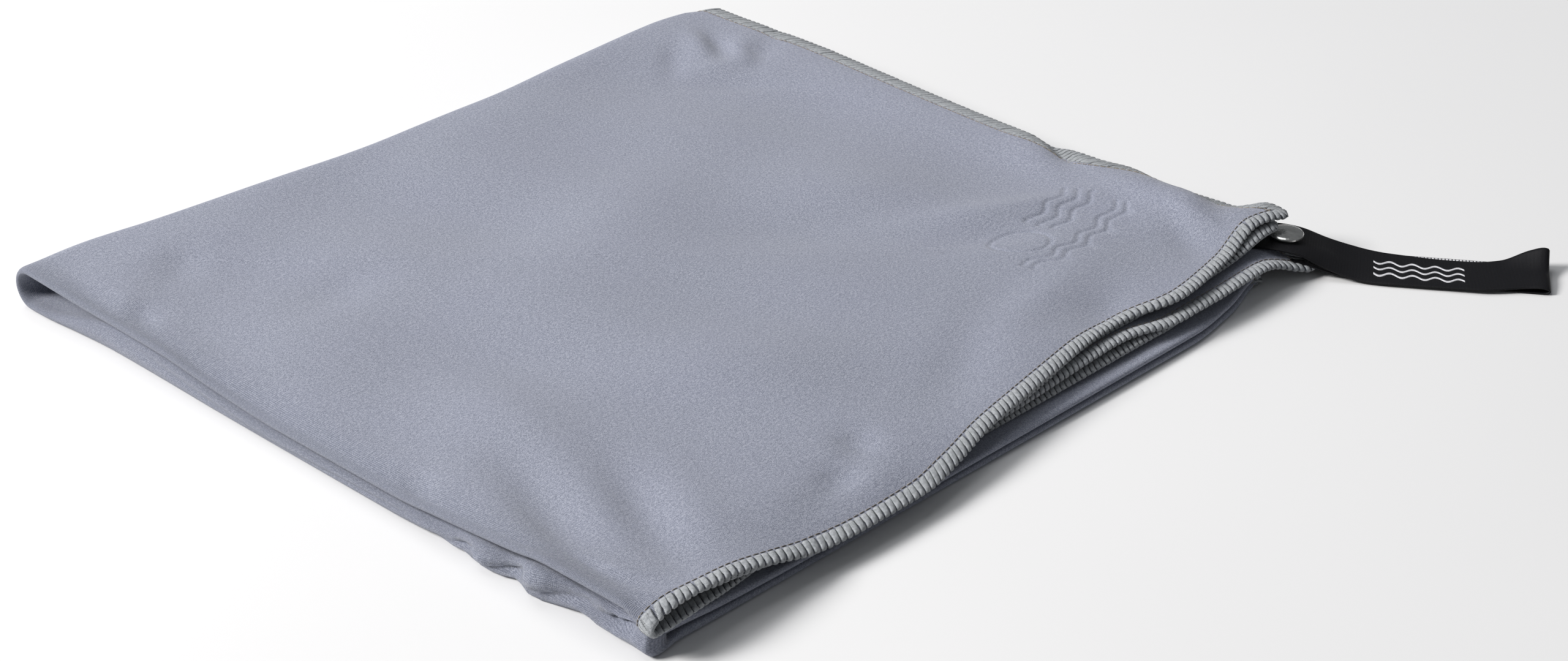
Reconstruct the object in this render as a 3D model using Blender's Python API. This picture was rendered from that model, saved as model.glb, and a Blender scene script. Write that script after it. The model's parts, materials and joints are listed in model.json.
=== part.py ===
"""Quick dry towel folded into a packet, with a ribbon hanging loop closed by a press stud.

One knitted cloth is folded three times. The last fold is the hinge at the back: the four layers
above it open like a book's cover. Each stretch of cloth between two folds is a layer, numbered
from the top of the packet (1) to the bottom (8). Every cloth edge carries an overlocked border.
The loop is one ribbon, doubled at its far end and sewn under layer 3 at the towel's corner.

Metres, +Z up. The origin is the middle of the packet's underside. +Y points at the last fold and
+X at the side where the eight overlocked long edges lie.
"""

import math

import bmesh
import bpy
from mathutils import Vector

# The cloth, cut flat, and the packet that three halvings make of it
TOWEL_WIDTH = 0.600
TOWEL_LENGTH = 1.160
PACKET_X = TOWEL_WIDTH / 2
PACKET_Y = TOWEL_LENGTH / 4
RIGHT = PACKET_X / 2
LEFT = -PACKET_X / 2
BACK = PACKET_Y / 2
FRONT = -PACKET_Y / 2

# Layers
LAYER_COUNT = 8
LAYER_THICK = 0.00195
CLEARANCE = 0.0003
PITCH = LAYER_THICK + CLEARANCE
HALF_STACK = LAYER_COUNT // 2 * PITCH - CLEARANCE / 2
BORDER_WIDTH = 0.0055
SEAM_INSET = BORDER_WIDTH + CLEARANCE
TOP_CORNER_RADIUS = 0.025
LOW_CORNER_RADIUS = 0.060
LOOSE_TOP_LAYERS = 3
CORNER_STEPS = 10

# The last fold: nested turns about the middle plane, and the hinge just behind them
TURN_Y = BACK - HALF_STACK
TURN_STEPS = 12
HINGE_OFFSET = 0.0002

# The side fold wraps layers 1 to 4 and 5 to 8; the end fold joins 5 to 6 and 7 to 8
OUTER_WRAP = 2 * PITCH - CLEARANCE / 2
INNER_WRAP = PITCH - CLEARANCE / 2
WRAP_X = LEFT + OUTER_WRAP
WRAP_STEPS = 12
END_TURN_Y = FRONT + INNER_WRAP

# The ribbon, in its own frame: x runs outwards from the hinge at the far end, so it is negative
RIBBON_WIDTH = 0.020
RIBBON_THICK = 0.0008
RIBBON_HEADING = math.radians(-55.9)
RIBBON_END = (0.2103, -0.2046)
RIBBON_MIDDLE_Z = RIBBON_THICK + CLEARANCE / 2
RIBBON_TURN_X = -0.0010
RIBBON_TURN_STEPS = 5
SNAP_X = -0.0875

# Centre lines of the two legs as (x, z) points, from the far end to the towel
FIXED_LEG_Z = 0.0055
FREE_LEG_Z = 0.0096
ROOT_Z = 0.01055
FIXED_LEG = (
    (-0.0650, RIBBON_THICK / 2),
    (-0.0800, FIXED_LEG_Z),
    (-0.0945, FIXED_LEG_Z),
    (-0.0990, ROOT_Z),
    (-0.1050, ROOT_Z),
)
FREE_LEG = ((-0.0630, 0.0015), (-0.0790, FREE_LEG_Z), (-0.0940, FREE_LEG_Z))
BAR_TACK_X = -0.1030
BAR_TACK_SIZE = (0.0018, 0.016, 0.0005)

# Press stud, heights measured from the packet's underside
HOLE_RADIUS = 0.0016
RIVET_RADIUS = 0.0013
ROUND_STEPS = 32
FIXED_LEG_TOP = FIXED_LEG_Z + RIBBON_THICK / 2 + CLEARANCE
FIXED_LEG_BASE = FIXED_LEG_Z - RIBBON_THICK / 2 - CLEARANCE
FREE_LEG_TOP = FREE_LEG_Z + RIBBON_THICK / 2 + CLEARANCE
FREE_LEG_BASE = FREE_LEG_Z - RIBBON_THICK / 2 - CLEARANCE
CAP_RADIUS = 0.0060
CAP_RIM = 0.0005
CAP_DOME = 0.0011
CAP_STEPS = 6
CAP_RIVET_END = 0.0087
SOCKET_RADIUS = 0.0051
SOCKET_WALL_IN = 0.0033
SOCKET_LIP = 0.0029
SOCKET_LOW_Z = 0.0071
SOCKET_CEILING_Z = 0.0086
STUD_RADIUS = 0.0050
STUD_FLANGE = 0.0005
STUD_HEAD = 0.0024
STUD_NECK = 0.0020
STUD_TOP_Z = 0.0083
STUD_WALL = 0.0005
POST_RADIUS = 0.0052
POST_FLANGE = 0.0006
POST_TOP_Z = 0.0074
SPRING_RING = 0.00285
SPRING_WIRE = 0.00018
SPRING_Z = 0.0079
SPRING_STEPS = 8
BORDER_BEVEL = 0.0004


def clear_scene():
    for obj in list(bpy.data.objects):
        bpy.data.objects.remove(obj, do_unlink=True)


def make_material(name, color, roughness, metallic=0.0):
    material = bpy.data.materials.new(name)
    material.use_nodes = True
    shader = material.node_tree.nodes["Principled BSDF"]
    shader.inputs["Base Color"].default_value = (*color, 1.0)
    shader.inputs["Roughness"].default_value = roughness
    shader.inputs["Metallic"].default_value = metallic
    return material


def make_empty(name, location, heading=0.0, parent=None):
    empty = bpy.data.objects.new(name, None)
    empty.empty_display_size = 0.02
    empty.location = location
    empty.rotation_euler = (0.0, 0.0, heading)
    bpy.context.scene.collection.objects.link(empty)
    if parent:
        empty.parent = parent
        empty.location = Vector(location) - parent.location
    return empty


def make_object(name, bm, material, parent=None):
    """A named object from a bmesh. Under an unrotated parent its mesh keeps the packet's frame."""
    bmesh.ops.recalc_face_normals(bm, faces=bm.faces)
    mesh = bpy.data.meshes.new(name)
    bm.to_mesh(mesh)
    bm.free()
    mesh.materials.append(material)
    obj = bpy.data.objects.new(name, mesh)
    bpy.context.scene.collection.objects.link(obj)
    if parent:
        obj.parent = parent
        obj.location = -parent.location
    return obj


def shade_round(obj):
    obj.data.shade_smooth()
    obj.data.set_sharp_from_angle(angle=math.radians(30))


def add_solidify(obj, thickness):
    modifier = obj.modifiers.new("thickness", "SOLIDIFY")
    modifier.thickness = thickness
    modifier.offset = -1.0
    modifier.use_even_offset = True


def layer_low_z(layer):
    return (LAYER_COUNT - layer) * PITCH


def corner_arc(radius, inset):
    """Points round the front right corner, from the front edge to the right edge."""
    centre = Vector((RIGHT - radius, FRONT + radius))
    points = []
    for step in range(CORNER_STEPS + 1):
        angle = math.radians(-90 + 90 * step / CORNER_STEPS)
        points.append(centre + (radius - inset) * Vector((math.cos(angle), math.sin(angle))))
    return points


def spin_edge(bm, edge, centre, axis, angle, steps):
    geometry = list(edge.verts) + [edge]
    bmesh.ops.spin(bm, geom=geometry, cent=centre, axis=axis, angle=angle, steps=steps)


def make_layer(layer, material, parent):
    """One layer: a flat sheet whose back edge turns into the last fold, stopping at its middle plane."""
    upper = layer <= LAYER_COUNT // 2
    outer_z = layer_low_z(layer) + (LAYER_THICK if upper else 0.0)
    radius = abs(outer_z - HALF_STACK)
    corner = TOP_CORNER_RADIUS if layer <= LOOSE_TOP_LAYERS else LOW_CORNER_RADIUS
    front = FRONT + SEAM_INSET if upper else END_TURN_Y + CLEARANCE
    left = WRAP_X + CLEARANCE
    outline = [Vector((left, front))]
    if not upper:
        outline.append(Vector((RIGHT - corner, front)))
    outline += corner_arc(corner, SEAM_INSET)
    outline += [Vector((RIGHT - SEAM_INSET, TURN_Y)), Vector((left, TURN_Y))]
    bm = bmesh.new()
    verts = [bm.verts.new((point.x, point.y, outer_z)) for point in outline]
    bm.faces.new(verts)
    inner_radius = radius - LAYER_THICK
    if inner_radius > CLEARANCE:
        edge = bm.edges.get((verts[-2], verts[-1]))
        reach = math.acos(CLEARANCE / inner_radius)
        turn = -reach if upper else reach
        spin_edge(bm, edge, (0, TURN_Y, HALF_STACK), (1, 0, 0), turn, TURN_STEPS)
        bmesh.ops.remove_doubles(bm, verts=bm.verts, dist=1e-7)
    obj = make_object(f"cloth_layer_{layer}", bm, material, parent)
    face_outwards(obj, outer_z > HALF_STACK)
    add_solidify(obj, LAYER_THICK)
    return obj


def face_outwards(obj, upwards):
    """Turn the sheet so that its flat face looks away from the middle of the packet."""
    largest = max(obj.data.polygons, key=lambda polygon: polygon.area)
    if (largest.normal.z > 0) != upwards:
        obj.data.flip_normals()


def make_half_tube(name, ends, centre, axis, turn, material, parent=None):
    """A fold: the line from start to end, swung half a turn about its axis, then given thickness."""
    bm = bmesh.new()
    verts = [bm.verts.new(end) for end in ends]
    edge = bm.edges.new(verts)
    spin_edge(bm, edge, centre, axis, turn, WRAP_STEPS)
    bmesh.ops.remove_doubles(bm, verts=bm.verts, dist=1e-7)
    obj = make_object(name, bm, material, parent)
    middle = obj.data.polygons[len(obj.data.polygons) // 2]
    if middle.normal.dot(middle.center - centre) < 0:
        obj.data.flip_normals()
    add_solidify(obj, LAYER_THICK)
    shade_round(obj)
    return obj


def make_side_fold(name, low_layer, radius, y_range, material, parent=None):
    """A fold along the left side that joins a layer to the one that it is doubled onto."""
    low_z = layer_low_z(low_layer)
    ends = [Vector((WRAP_X, y, low_z + 2 * radius)) for y in y_range]
    centre = Vector((WRAP_X, y_range[0], low_z + radius))
    return make_half_tube(name, ends, centre, (0, 1, 0), -math.pi, material, parent)


def make_end_fold(name, low_layer, material):
    """A fold along the front that joins two neighbouring layers of the lower half."""
    low_z = layer_low_z(low_layer)
    x_range = (WRAP_X + CLEARANCE, RIGHT - LOW_CORNER_RADIUS)
    ends = [Vector((x, END_TURN_Y, low_z + 2 * INNER_WRAP)) for x in x_range]
    centre = Vector((x_range[0], END_TURN_Y, low_z + INNER_WRAP))
    return make_half_tube(name, ends, centre, (1, 0, 0), math.pi, material)


def make_border(layer, material, parent):
    """The overlocked border of one layer: a flat band round its loose edges, chamfered all round."""
    upper = layer <= LAYER_COUNT // 2
    corner = TOP_CORNER_RADIUS if layer <= LOOSE_TOP_LAYERS else LOW_CORNER_RADIUS
    if upper:
        outer = [Vector((WRAP_X + CLEARANCE, FRONT))] + corner_arc(corner, 0.0)
        inner = [Vector((WRAP_X + CLEARANCE, FRONT + BORDER_WIDTH))] + corner_arc(corner, BORDER_WIDTH)
    else:
        outer = [Vector((RIGHT, FRONT + corner))]
        inner = [Vector((RIGHT - BORDER_WIDTH, FRONT + corner))]
    outer.append(Vector((RIGHT, TURN_Y)))
    inner.append(Vector((RIGHT - BORDER_WIDTH, TURN_Y)))
    bm = bmesh.new()
    low_z = layer_low_z(layer)
    verts = [bm.verts.new((point.x, point.y, low_z)) for point in outer + inner[::-1]]
    face = bm.faces.new(verts)
    extruded = bmesh.ops.extrude_face_region(bm, geom=[face])
    raised = [item for item in extruded["geom"] if isinstance(item, bmesh.types.BMVert)]
    bmesh.ops.translate(bm, verts=raised, vec=(0, 0, LAYER_THICK))
    obj = make_object(f"overlock_layer_{layer}", bm, material, parent)
    bevel = obj.modifiers.new("rounded", "BEVEL")
    bevel.width = BORDER_BEVEL
    bevel.segments = 1
    bevel.limit_method = "ANGLE"
    bevel.angle_limit = math.radians(60)
    return obj


def leg_outline(centre_line, turn_sign):
    """Side view of a ribbon leg: its far end turns through a quarter circle, up or down, to the hinge."""
    half = RIBBON_THICK / 2
    level = RIBBON_MIDDLE_Z - turn_sign * (CLEARANCE / 2 + half)
    points = [Vector((RIBBON_TURN_X, level))]
    points += [Vector(point) for point in centre_line]
    normals = []
    for index, point in enumerate(points):
        before = points[max(index - 1, 0)]
        after = points[min(index + 1, len(points) - 1)]
        along = (after - before).normalized()
        normals.append(Vector((along.y, -along.x)) * turn_sign)
    outer_side = [point - normal * half for point, normal in zip(points, normals)]
    inner_side = [point + normal * half for point, normal in zip(points, normals)]
    turn_centre = Vector((RIBBON_TURN_X, RIBBON_MIDDLE_Z))
    inner_radius = CLEARANCE / 2
    outer_radius = inner_radius + RIBBON_THICK
    arc_outer = []
    arc_inner = []
    for step in range(1, RIBBON_TURN_STEPS + 1):
        angle = math.radians(80) * step / RIBBON_TURN_STEPS
        direction = Vector((math.sin(angle), -turn_sign * math.cos(angle)))
        arc_outer.append(turn_centre + outer_radius * direction)
        arc_inner.append(turn_centre + inner_radius * direction)
    return outer_side[::-1] + arc_outer + arc_inner[::-1] + inner_side


def make_leg(name, centre_line, turn_sign, material, parent, cutter):
    bm = bmesh.new()
    outline = leg_outline(centre_line, turn_sign)
    verts = [bm.verts.new((point.x, -RIBBON_WIDTH / 2, point.y)) for point in outline]
    face = bm.faces.new(verts)
    extruded = bmesh.ops.extrude_face_region(bm, geom=[face])
    moved = [item for item in extruded["geom"] if isinstance(item, bmesh.types.BMVert)]
    bmesh.ops.translate(bm, verts=moved, vec=(0, RIBBON_WIDTH, 0))
    obj = make_object(name, bm, material)
    attach_to_strap(obj, parent)
    hole = obj.modifiers.new("rivet_hole", "BOOLEAN")
    hole.operation = "DIFFERENCE"
    hole.object = cutter
    return obj


def attach_to_strap(obj, parent):
    """The strap's pieces are drawn in the hinge's own frame, at the height of the packet's underside."""
    obj.parent = parent
    obj.location = (0, 0, -RIBBON_MIDDLE_Z)


def make_turned(name, profile, material, parent):
    """A solid turned about the press stud's axis, from (radius, height) points, axis first and last."""
    bm = bmesh.new()
    verts = [bm.verts.new((radius, 0, height)) for radius, height in profile]
    edges = [bm.edges.new(pair) for pair in zip(verts, verts[1:])]
    if profile[0][0] > 0:
        edges.append(bm.edges.new((verts[-1], verts[0])))
    turned = verts + edges
    bmesh.ops.spin(bm, geom=turned, cent=(0, 0, 0), axis=(0, 0, 1), angle=2 * math.pi, steps=ROUND_STEPS)
    bmesh.ops.remove_doubles(bm, verts=bm.verts, dist=1e-6)
    bmesh.ops.translate(bm, verts=bm.verts, vec=(SNAP_X, 0, 0))
    obj = make_object(name, bm, material)
    attach_to_strap(obj, parent)
    shade_round(obj)
    return obj


def make_rivet_cutter(parent, material):
    profile = [(0, -0.001), (HOLE_RADIUS, -0.001), (HOLE_RADIUS, 0.014), (0, 0.014)]
    cutter = make_turned("rivet_hole_cutter", profile, material, parent)
    cutter.hide_render = True
    cutter.display_type = "WIRE"
    return cutter


def cap_profile():
    """Domed cap with a rivet under it."""
    points = [(0, CAP_RIVET_END), (RIVET_RADIUS, CAP_RIVET_END), (RIVET_RADIUS, FREE_LEG_TOP)]
    points += [(CAP_RADIUS, FREE_LEG_TOP), (CAP_RADIUS, FREE_LEG_TOP + CAP_RIM)]
    for step in range(1, CAP_STEPS):
        angle = math.radians(90) * step / CAP_STEPS
        height = FREE_LEG_TOP + CAP_RIM + CAP_DOME * math.sin(angle)
        points.append((CAP_RADIUS * math.cos(angle), height))
    points.append((0, FREE_LEG_TOP + CAP_RIM + CAP_DOME))
    return points


def socket_profile():
    """Ring open below, with a shoulder inside that holds the spring."""
    return [
        (HOLE_RADIUS, FREE_LEG_BASE),
        (HOLE_RADIUS, SOCKET_CEILING_Z),
        (SOCKET_WALL_IN, SOCKET_CEILING_Z),
        (SOCKET_WALL_IN, SOCKET_LOW_Z + 0.0003),
        (SOCKET_LIP, SOCKET_LOW_Z),
        (SOCKET_RADIUS - 0.0007, SOCKET_LOW_Z),
        (SOCKET_RADIUS, SOCKET_LOW_Z + 0.0005),
        (SOCKET_RADIUS, FREE_LEG_BASE),
    ]


def stud_profile():
    """Flange with a closed boss that clicks into the socket, hollow below for the rivet."""
    flange_top = FIXED_LEG_TOP + STUD_FLANGE
    ceiling = STUD_TOP_Z - STUD_WALL
    return [
        (HOLE_RADIUS, FIXED_LEG_TOP),
        (STUD_RADIUS, FIXED_LEG_TOP),
        (STUD_RADIUS, flange_top),
        (STUD_NECK + 0.0002, flange_top + 0.0001),
        (STUD_NECK, flange_top + 0.0007),
        (STUD_HEAD, flange_top + 0.0012),
        (STUD_NECK, STUD_TOP_Z),
        (0, STUD_TOP_Z),
        (0, ceiling),
        (HOLE_RADIUS, ceiling),
    ]


def post_profile():
    """Flange under the ribbon with a rivet standing on it."""
    flange_base = FIXED_LEG_BASE - POST_FLANGE
    return [
        (0, flange_base),
        (POST_RADIUS, flange_base),
        (POST_RADIUS, FIXED_LEG_BASE - 0.0002),
        (POST_RADIUS - 0.0004, FIXED_LEG_BASE),
        (RIVET_RADIUS, FIXED_LEG_BASE),
        (RIVET_RADIUS, POST_TOP_Z),
        (0, POST_TOP_Z),
    ]


def make_spring(material, parent):
    """Wire ring inside the socket that snaps over the stud."""
    points = []
    for step in range(SPRING_STEPS):
        angle = 2 * math.pi * step / SPRING_STEPS
        across = SPRING_RING + SPRING_WIRE * math.cos(angle)
        points.append((across, SPRING_Z + SPRING_WIRE * math.sin(angle)))
    return make_turned("snap_spring", points, material, parent)


def make_bar_tack(material, parent):
    """Dense row of stitches that holds the ribbon's end under the cloth, set on the ribbon's underside."""
    height = ROOT_Z - RIBBON_THICK / 2 - CLEARANCE - BAR_TACK_SIZE[2] / 2 - 0.00005
    bm = bmesh.new()
    bmesh.ops.create_cube(bm, size=1.0)
    bmesh.ops.scale(bm, verts=bm.verts, vec=BAR_TACK_SIZE)
    bmesh.ops.translate(bm, verts=bm.verts, vec=(BAR_TACK_X, 0, height))
    obj = make_object("strap_bar_tack", bm, material)
    attach_to_strap(obj, parent)
    return obj


def build_cloth(cloth, thread, unfold_axis):
    for layer in range(1, LAYER_COUNT + 1):
        parent = unfold_axis if layer <= LAYER_COUNT // 2 else None
        make_layer(layer, cloth, parent)
        make_border(layer, thread, parent)
    back_run = (FRONT + SEAM_INSET, TURN_Y)
    make_side_fold("side_fold_upper_outer", 4, OUTER_WRAP, back_run, cloth, unfold_axis)
    make_side_fold("side_fold_upper_inner", 3, INNER_WRAP, back_run, cloth, unfold_axis)
    border_run = (FRONT, FRONT + BORDER_WIDTH)
    make_side_fold("overlock_wrap_outer", 4, OUTER_WRAP, border_run, thread, unfold_axis)
    make_side_fold("overlock_wrap_inner", 3, INNER_WRAP, border_run, thread, unfold_axis)
    low_run = (END_TURN_Y + CLEARANCE, TURN_Y)
    make_side_fold("side_fold_lower_outer", 8, OUTER_WRAP, low_run, cloth)
    make_side_fold("side_fold_lower_inner", 7, INNER_WRAP, low_run, cloth)
    make_end_fold("end_fold_upper", 6, cloth)
    make_end_fold("end_fold_lower", 8, cloth)


def build_strap(ribbon, thread, metal, unfold_axis):
    place = (*RIBBON_END, RIBBON_MIDDLE_Z)
    fixed = make_empty("strap_frame", place, RIBBON_HEADING, unfold_axis)
    free = make_empty("strap_open_axis", place, RIBBON_HEADING, unfold_axis)
    cutter = make_rivet_cutter(fixed, ribbon)
    make_leg("strap_fixed_leg", FIXED_LEG, 1, ribbon, fixed, cutter)
    make_leg("strap_free_leg", FREE_LEG, -1, ribbon, free, cutter)
    make_bar_tack(thread, fixed)
    make_turned("snap_post", post_profile(), metal, fixed)
    make_turned("snap_stud", stud_profile(), metal, fixed)
    make_turned("snap_socket", socket_profile(), metal, free)
    make_spring(metal, free)
    make_turned("snap_cap", cap_profile(), metal, free)


def main():
    clear_scene()
    cloth = make_material("towel_cloth", (0.285, 0.315, 0.375), 0.90)
    thread = make_material("overlock_thread", (0.33, 0.36, 0.37), 0.80)
    ribbon = make_material("strap_ribbon", (0.010, 0.010, 0.012), 0.45)
    metal = make_material("snap_metal", (0.72, 0.72, 0.70), 0.25, 1.0)
    unfold_axis = make_empty("unfold_axis", Vector((0.0, BACK + HINGE_OFFSET, HALF_STACK)))
    build_cloth(cloth, thread, unfold_axis)
    build_strap(ribbon, thread, metal, unfold_axis)


main()
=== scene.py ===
import json
import math

import bpy
import numpy as np
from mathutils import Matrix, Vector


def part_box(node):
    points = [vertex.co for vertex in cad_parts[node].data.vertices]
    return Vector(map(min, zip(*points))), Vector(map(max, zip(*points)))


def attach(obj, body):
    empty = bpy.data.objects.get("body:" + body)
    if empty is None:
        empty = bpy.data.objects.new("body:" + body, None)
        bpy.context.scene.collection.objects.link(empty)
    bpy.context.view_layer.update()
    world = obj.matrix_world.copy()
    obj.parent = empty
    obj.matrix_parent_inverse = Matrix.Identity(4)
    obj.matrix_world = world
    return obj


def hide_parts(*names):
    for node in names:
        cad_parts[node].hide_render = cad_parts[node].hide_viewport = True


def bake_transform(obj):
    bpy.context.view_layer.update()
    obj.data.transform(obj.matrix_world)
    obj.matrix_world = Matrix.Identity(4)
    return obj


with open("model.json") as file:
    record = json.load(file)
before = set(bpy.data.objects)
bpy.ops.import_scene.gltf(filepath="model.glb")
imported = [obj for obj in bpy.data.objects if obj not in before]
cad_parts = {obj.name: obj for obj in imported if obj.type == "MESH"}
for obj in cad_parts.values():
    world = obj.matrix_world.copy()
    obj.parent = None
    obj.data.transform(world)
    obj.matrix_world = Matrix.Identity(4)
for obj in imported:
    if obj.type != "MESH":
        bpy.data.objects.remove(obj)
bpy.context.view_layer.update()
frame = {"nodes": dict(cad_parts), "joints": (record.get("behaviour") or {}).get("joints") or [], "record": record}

MM = 0.001

# ---------------------------------------------------------------- sizes from the frame
RECORD = frame["record"]
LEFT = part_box("side_fold_upper_outer")[0].x
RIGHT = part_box("overlock_layer_1")[1].x
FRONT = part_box("overlock_layer_1")[0].y
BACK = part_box("cloth_layer_1")[1].y
PACKET_X = RIGHT - LEFT
PACKET_Y = BACK - FRONT
WIDTH = 2 * PACKET_X
LENGTH = 4 * PACKET_Y
HINGES = {joint["name"]: joint for joint in frame["joints"]}
UNFOLD_Y, UNFOLD_Z = HINGES["unfold"]["pos_m"][1:]
STRAP_END = np.array(HINGES["strap_open"]["pos_m"])
STRAP_ACROSS = np.array(HINGES["strap_open"]["axis"])
STRAP_ALONG = np.cross(STRAP_ACROSS, (0.0, 0.0, 1.0))

CLOTH_THICK = 0.65 * MM
STITCH_PITCH = 2.4 * MM
CORNER_RADIUS = 4.5 * MM
RANDOM_SEED = 7
# Cloth that the turns take: half of the side fold's and the end fold's, and all of the last fold's
SIDE_TURN = 7 * MM
END_TURN = 2.2 * MM
LAST_TURN = 22 * MM
STRAIGHT_RUN = PACKET_Y - LAST_TURN / 2  # from a serged end to the last fold's turn


# ---------------------------------------------------------------- small helpers
def curve(*points):
    """Smooth line through given (position, value) points in millimetres, level beyond its ends."""
    xs, ys = np.array(points, float).T
    steps = np.diff(xs)
    slopes = np.diff(ys) / steps
    tangents = np.zeros(len(xs))
    for i in range(1, len(xs) - 1):
        if slopes[i - 1] * slopes[i] > 0:
            tangents[i] = 2 * slopes[i - 1] * slopes[i] / (slopes[i - 1] + slopes[i])

    def at(position):
        x = np.clip(np.asarray(position) / MM, xs[0], xs[-1])
        i = np.clip(np.searchsorted(xs, x, side="right") - 1, 0, len(steps) - 1)
        t = (x - xs[i]) / steps[i]
        t2, t3 = t * t, t * t * t
        value = (2 * t3 - 3 * t2 + 1) * ys[i] + (t3 - 2 * t2 + t) * steps[i] * tangents[i]
        value += (3 * t2 - 2 * t3) * ys[i + 1] + (t3 - t2) * steps[i] * tangents[i + 1]
        return value * MM

    return at


def smooth_step(low, high, x):
    t = np.clip((x - low) / (high - low), 0, 1)
    return t * t * (3 - 2 * t)


def unit(vectors):
    return vectors / np.linalg.norm(vectors, axis=-1, keepdims=True)


def soft_max(a, b, softness):
    """The larger of a and b, rounded where they cross."""
    h = np.maximum(softness - np.abs(a - b), 0) / softness
    return np.maximum(a, b) + h * h * softness / 4


def bump(x, y, spot):
    """One soft dent or swell: (x, y, half-length, half-width, heading in degrees, height), millimetres."""
    cx, cy, length, width, heading, height = spot
    c, s = math.cos(math.radians(heading)), math.sin(math.radians(heading))
    dx, dy = x / MM - cx, y / MM - cy
    along, across = dx * c + dy * s, dy * c - dx * s
    return height * MM * np.exp(-(along / length) ** 2 - (across / width) ** 2)


def waves(x, y, seed, shortest, longest):
    """Smooth random relief of about unit size, from sine waves with lengths between the two given."""
    random = np.random.default_rng(seed)
    total, count = np.zeros(np.shape(x)), 14
    for _ in range(count):
        heading = random.uniform(0, math.pi)
        length = random.uniform(shortest, longest)
        phase = random.uniform(0, 2 * math.pi)
        distance = x * math.cos(heading) + y * math.sin(heading)
        total += np.sin(2 * math.pi * distance / length + phase)
    return total / math.sqrt(count / 2)


# ---------------------------------------------------------------- the packet's shape, in millimetres
# Heights of four control surfaces (layers 8, 5, 4 and 1) along the packet's edges, and level inside
BASE_HEIGHT = {8: 0.4, 5: 4.4, 4: 6.2, 1: 11.8}
FRONT_HEIGHT = {
    8: curve((-150, 0.5), (120, 0.5), (150, 1.15)),
    5: curve((-150, 7.6), (-138, 7.0), (-120, 5.2), (-90, 4.2), (0, 4.0), (100, 3.8), (150, 4.0)),
    4: curve((-150, 8.4), (-128, 8.0), (-105, 6.2), (-80, 5.2), (20, 5.4), (74, 6.3), (90, 5.6),
             (150, 5.4)),
    1: curve((-150, 15.0), (-135, 14.6), (-120, 13.3), (-100, 10.5), (-88, 8.6), (-60, 7.4),
             (-44, 7.9), (-22, 9.0), (0, 10.1), (36, 10.4), (65, 11.8), (80, 11.5), (98, 12.8),
             (124, 14.3), (150, 15.4)),
}
LEFT_HEIGHT = {
    8: curve((-145, 1.2), (-100, 0.5), (100, 0.6), (145, 0.6)),
    5: curve((-145, 9.6), (-107, 10.0), (-93, 8.6), (-62, 6.0), (-36, 5.0), (14, 5.0), (46, 6.4),
             (72, 8.6), (98, 9.2), (118, 5.9), (134, 2.6), (145, 2.5)),
    4: curve((-145, 8.6), (-138, 12.6), (-107, 13.0), (-93, 11.2), (-62, 8.4), (-40, 6.8), (14, 6.6),
             (46, 8.5), (72, 10.6), (106, 11.4), (145, 13.2)),
    1: curve((-145, 16.4), (-120, 17.4), (-100, 16.8), (-62, 13.6), (-36, 12.2), (14, 11.8), (50, 13.4),
             (90, 15.0), (145, 16.3)),
}
RIGHT_HEIGHT = {
    8: curve((-145, 1.15), (145, 1.15)),
    5: curve((-145, 5.2), (-60, 6.4), (145, 6.8)),
    4: curve((-145, 6.6), (-100, 8.2), (-60, 9.0), (145, 9.4)),
    1: curve((-145, 14.2), (-124, 16.6), (-100, 17.4), (-84, 16.2), (-64, 14.8), (-42, 15.0),
             (20, 15.4), (100, 16.4), (145, 17.2)),
}
BACK_HEIGHT = {
    8: curve((-150, 0.5), (120, 0.6), (150, 1.15)),
    5: curve((-150, 2.5), (0, 3.3), (150, 4.6)),
    4: curve((-150, 13.2), (0, 11.6), (150, 12.4)),
    1: curve((-150, 15.3), (-60, 14.6), (40, 14.8), (150, 17.0)),
}
FRONT_REACH, LEFT_REACH, RIGHT_REACH, BACK_REACH = 13 * MM, 17 * MM, 16 * MM, 30 * MM

# Where each layer's edges and folds lie
FRONT_EDGE = {
    1: curve((-150, -148), (-120, -147.5), (-100, -149), (-72, -150.5), (-50, -150.2), (-33, -147.5),
             (-12, -142.5), (24, -136.5), (62, -131.5), (86, -136.5), (112, -132.5), (134, -128),
             (150, -131), (167, -144)),
    2: curve((-150, -142), (-132, -146.2), (-100, -146.5), (-70, -141), (0, -139), (62, -131),
             (105, -133), (128, -132), (150, -131), (160, -134)),
    3: curve((-150, -142), (-100, -139), (0, -139), (30, -138), (58, -137), (78, -140.5),
             (103, -141.5), (130, -141), (146, -145), (160, -151)),
    4: curve((-150, -148), (-128, -146), (-105, -142), (-80, -139), (-8, -139), (60, -139.5),
             (90, -139), (110, -136), (150, -134)),
    5: curve((-150, -146), (100, -145), (123, -142), (150, -136)),
    8: curve((-150, -147), (-142, -146), (96, -146), (123, -142.6), (150, -136)),
}
RIGHT_EDGE = {
    1: curve((-145, 166), (-124, 163), (-100, 161.5), (-84, 158.5), (-64, 154), (-44, 154), (0, 155),
             (50, 157), (90, 158.5), (145, 157)),
    2: curve((-145, 160), (-120, 158), (-90, 153), (0, 151), (100, 153), (145, 152)),
    3: curve((-145, 161.5), (-120, 156), (0, 152), (60, 154), (145, 151)),
    4: curve((-145, 147), (-110, 151), (0, 150), (145, 152)),
    5: curve((-145, 143), (-115, 149), (30, 151), (145, 150)),
    6: curve((-145, 142), (-115, 148), (60, 149), (145, 152)),
    7: curve((-145, 142), (-115, 147), (-20, 150), (145, 151)),
    8: curve((-145, 143), (-115, 148), (80, 150), (145, 149)),
}
SIDE_AXIS_UPPER = curve((-145, -147.5), (-100, -148.2), (0, -148.0), (100, -148.2), (145, -149.0))
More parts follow.
